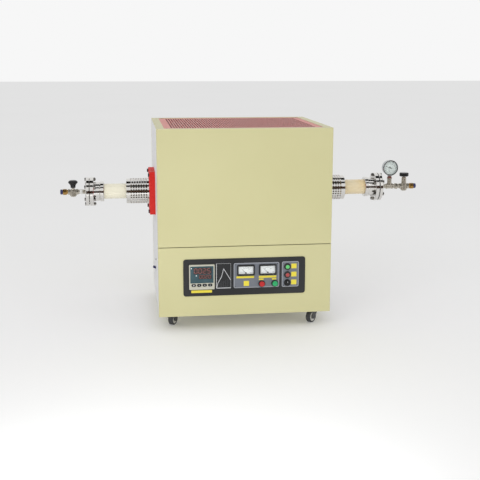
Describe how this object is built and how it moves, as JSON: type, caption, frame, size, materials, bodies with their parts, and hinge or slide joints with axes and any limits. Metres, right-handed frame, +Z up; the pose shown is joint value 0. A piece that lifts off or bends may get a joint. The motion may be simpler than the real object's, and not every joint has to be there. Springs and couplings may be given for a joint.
{
  "type": "tube furnace",
  "caption": "Horizontal tube furnace: sheet-steel cabinet on casters with a flanged ceramic work tube through it, gas valves at both ends, a gauge and a control panel.",
  "frame": {"origin": "middle of the whole footprint at floor level, under the wheels", "axes": "+X along the work tube to the operator's right, +Y to the back, +Z up"},
  "size_m": [1.454, 0.622, 0.77],
  "materials": {
    "cabinet_enamel": "fine-textured powder coat, warm ivory",
    "side_enamel": "fine-textured powder coat, off-white",
    "red_enamel": "gloss red powder coat",
    "grille_enamel": "red powder coat on punched sheet",
    "zinc_sheet": "zinc-coated sheet",
    "fibre_board": "pressed ceramic-fibre insulation, matt white",
    "element": "dark grey sintered heating element and its holder",
    "alumina": "cream sintered alumina, satin",
    "stainless": "turned and polished stainless steel",
    "nickel": "nickel-plated fittings",
    "dark_bolt": "blackened steel fasteners",
    "seal_rubber": "black fluorocarbon rubber",
    "brass": "machined brass",
    "blue_plastic": "dark blue acetal",
    "black_plastic": "black moulded plastic",
    "grey_plastic": "warm grey moulded plastic",
    "fascia_black": "satin black enamel on aluminium",
    "window": "clear glass",
    "gauge_steel": "light grey enamelled gauge case, white dial",
    "needle": "black enamelled needle",
    "red_button": "gloss red",
    "green_button": "gloss green",
    "lamp": "translucent coloured lens",
    "caster_steel": "black stoved steel",
    "caster_tyre": "dark grey rubber tread on a pale hub"
  },
  "bodies": {
    "furnace": {"base_pan": "cabinet_enamel", "deck": "zinc_sheet", "lower_front_panel": "cabinet_enamel", "upper_front_panel": "cabinet_enamel", "left_side_panel": "side_enamel", "right_side_panel": "side_enamel", "rear_panel": "cabinet_enamel", "top_frame": "cabinet_enamel", "top_grille": "grille_enamel", "chamber_lower": "fibre_board", "chamber_upper": "fibre_board", "heating_elements": "element", "thermocouple": "alumina", "process_tube": "alumina", "tube_plugs": "alumina", "tube_plates": "red_enamel", "plate_bolts": "dark_bolt", "tube_guards": "stainless", "flange_sleeves": "stainless", "end_covers": "stainless", "flange_bolts": "dark_bolt", "flange_seals": "seal_rubber", "pipe_fittings": "nickel", "valve_bodies": "nickel", "hose_fittings": "brass", "gauge_case": "gauge_steel", "instrument_windows": "window", "control_fascia": "fascia_black", "temperature_controller": "grey_plastic", "panel_meters": "black_plastic", "switch_bodies": "black_plastic", "pilot_lamps": "lamp", "fan_frame": "black_plastic", "cable_gland": "black_plastic"},
    "front_left_fork": {"front_left_fork": "caster_steel"},
    "front_left_wheel": {"front_left_wheel": "caster_tyre"},
    "front_right_fork": {"front_right_fork": "caster_steel"},
    "front_right_wheel": {"front_right_wheel": "caster_tyre"},
    "rear_left_fork": {"rear_left_fork": "caster_steel"},
    "rear_left_wheel": {"rear_left_wheel": "caster_tyre"},
    "rear_right_fork": {"rear_right_fork": "caster_steel"},
    "rear_right_wheel": {"rear_right_wheel": "caster_tyre"},
    "left_valve_stem": {"left_valve_stem": "stainless"},
    "left_valve_knob": {"left_valve_knob": "black_plastic"},
    "right_valve_stem": {"right_valve_stem": "stainless"},
    "right_valve_handle": {"right_valve_handle": "black_plastic"},
    "left_release_collar": {"left_release_collar": "blue_plastic"},
    "right_release_collar": {"right_release_collar": "blue_plastic"},
    "gauge_pointer": {"gauge_pointer": "needle"},
    "voltmeter_pointer": {"voltmeter_pointer": "needle"},
    "ammeter_pointer": {"ammeter_pointer": "needle"},
    "controller_key_set": {"controller_key_set": "black_plastic"},
    "controller_key_shift": {"controller_key_shift": "black_plastic"},
    "controller_key_down": {"controller_key_down": "black_plastic"},
    "controller_key_up": {"controller_key_up": "black_plastic"},
    "stop_button": {"stop_button": "red_button"},
    "start_button": {"start_button": "green_button"},
    "selector_knob": {"selector_knob": "black_plastic"},
    "breaker_toggle": {"breaker_toggle": "blue_plastic"},
    "fan_rotor": {"fan_rotor": "black_plastic"}
  },
  "joints": [
    {"name": "front_left_swivel", "type": "hinge", "parent": "furnace", "child": "front_left_fork", "pos_m": [-0.31, -0.21795, 0.06], "axis": [0, 0, 1], "continuous": true},
    {"name": "front_left_roll", "type": "hinge", "parent": "front_left_fork", "child": "front_left_wheel", "pos_m": [-0.299, -0.1989, 0.024], "axis": [-0.866, 0.5, 0], "continuous": true},
    {"name": "front_right_swivel", "type": "hinge", "parent": "furnace", "child": "front_right_fork", "pos_m": [0.258, -0.21795, 0.06], "axis": [0, 0, 1], "continuous": true},
    {"name": "front_right_roll", "type": "hinge", "parent": "front_right_fork", "child": "front_right_wheel", "pos_m": [0.24244, -0.23351, 0.024], "axis": [0.7071, -0.7071, 0], "continuous": true},
    {"name": "rear_left_swivel", "type": "hinge", "parent": "furnace", "child": "rear_left_fork", "pos_m": [-0.31, 0.20605, 0.06], "axis": [0, 0, 1], "continuous": true},
    {"name": "rear_left_roll", "type": "hinge", "parent": "rear_left_fork", "child": "rear_left_wheel", "pos_m": [-0.30431, 0.2273, 0.024], "axis": [-0.9659, 0.2588, 0], "continuous": true},
    {"name": "rear_right_swivel", "type": "hinge", "parent": "furnace", "child": "rear_right_fork", "pos_m": [0.258, 0.20605, 0.06], "axis": [0, 0, 1], "continuous": true},
    {"name": "rear_right_roll", "type": "hinge", "parent": "rear_right_fork", "child": "rear_right_wheel", "pos_m": [0.25048, 0.22672, 0.024], "axis": [-0.9397, -0.342, 0], "continuous": true},
    {"name": "left_valve_lift", "type": "slide", "parent": "furnace", "child": "left_valve_stem", "axis": [0, 0, 1], "range_m": [0, 0.002]},
    {"name": "left_valve_turn", "type": "hinge", "parent": "left_valve_stem", "child": "left_valve_knob", "pos_m": [-0.677, -0.00595, 0.501], "axis": [0, 0, 1], "range_deg": [0, 720]},
    {"name": "right_valve_lift", "type": "slide", "parent": "furnace", "child": "right_valve_stem", "axis": [0, 0, 1], "range_m": [0, 0.002]},
    {"name": "right_valve_turn", "type": "hinge", "parent": "right_valve_stem", "child": "right_valve_handle", "pos_m": [0.677, -0.00595, 0.501], "axis": [0, 0, 1], "range_deg": [0, 720]},
    {"name": "left_collar_press", "type": "slide", "parent": "furnace", "child": "left_release_collar", "axis": [1, 0, 0], "range_m": [0, 0.0012], "stiffness_N_per_m": 1500},
    {"name": "right_collar_press", "type": "slide", "parent": "furnace", "child": "right_release_collar", "axis": [-1, 0, 0], "range_m": [0, 0.0012], "stiffness_N_per_m": 1500},
    {"name": "gauge_needle", "type": "hinge", "parent": "furnace", "child": "gauge_pointer", "pos_m": [0.615, -0.01895, 0.578], "axis": [0, 1, 0], "range_deg": [-63, 207], "stiffness_Nm_per_rad": 0.002},
    {"name": "voltmeter_needle", "type": "hinge", "parent": "furnace", "child": "voltmeter_pointer", "pos_m": [-0.026, -0.30645, 0.22325], "axis": [0, 1, 0], "range_deg": [0, 90], "stiffness_Nm_per_rad": 0.001},
    {"name": "ammeter_needle", "type": "hinge", "parent": "furnace", "child": "ammeter_pointer", "pos_m": [0.058, -0.30645, 0.22325], "axis": [0, 1, 0], "range_deg": [0, 90], "stiffness_Nm_per_rad": 0.001},
    {"name": "key_set_press", "type": "slide", "parent": "furnace", "child": "controller_key_set", "axis": [0, 1, 0], "range_m": [0, 0.0008], "stiffness_N_per_m": 1000},
    {"name": "key_shift_press", "type": "slide", "parent": "furnace", "child": "controller_key_shift", "axis": [0, 1, 0], "range_m": [0, 0.0008], "stiffness_N_per_m": 1000},
    {"name": "key_down_press", "type": "slide", "parent": "furnace", "child": "controller_key_down", "axis": [0, 1, 0], "range_m": [0, 0.0008], "stiffness_N_per_m": 1000},
    {"name": "key_up_press", "type": "slide", "parent": "furnace", "child": "controller_key_up", "axis": [0, 1, 0], "range_m": [0, 0.0008], "stiffness_N_per_m": 1000},
    {"name": "stop_press", "type": "slide", "parent": "furnace", "child": "stop_button", "axis": [0, 1, 0], "range_m": [0, 0.004], "stiffness_N_per_m": 600},
    {"name": "start_press", "type": "slide", "parent": "furnace", "child": "start_button", "axis": [0, 1, 0], "range_m": [0, 0.004], "stiffness_N_per_m": 600},
    {"name": "selector_turn", "type": "hinge", "parent": "furnace", "child": "selector_knob", "pos_m": [0.1338, -0.29845, 0.1805], "axis": [0, 1, 0], "range_deg": [0, 90]},
    {"name": "breaker_throw", "type": "hinge", "parent": "furnace", "child": "breaker_toggle", "pos_m": [-0.35, -0.02595, 0.185], "axis": [0, 1, 0], "range_deg": [-50, 0]},
    {"name": "fan_spin", "type": "hinge", "parent": "furnace", "child": "fan_rotor", "pos_m": [-0.176, 0.26355, 0.2], "axis": [0, 1, 0], "continuous": true}
  ],
  "couplings": [
    {"joint": "left_valve_turn", "follows": "left_valve_lift", "rad_per_m": 6283.2},
    {"joint": "right_valve_turn", "follows": "right_valve_lift", "rad_per_m": 6283.2}
  ]
}
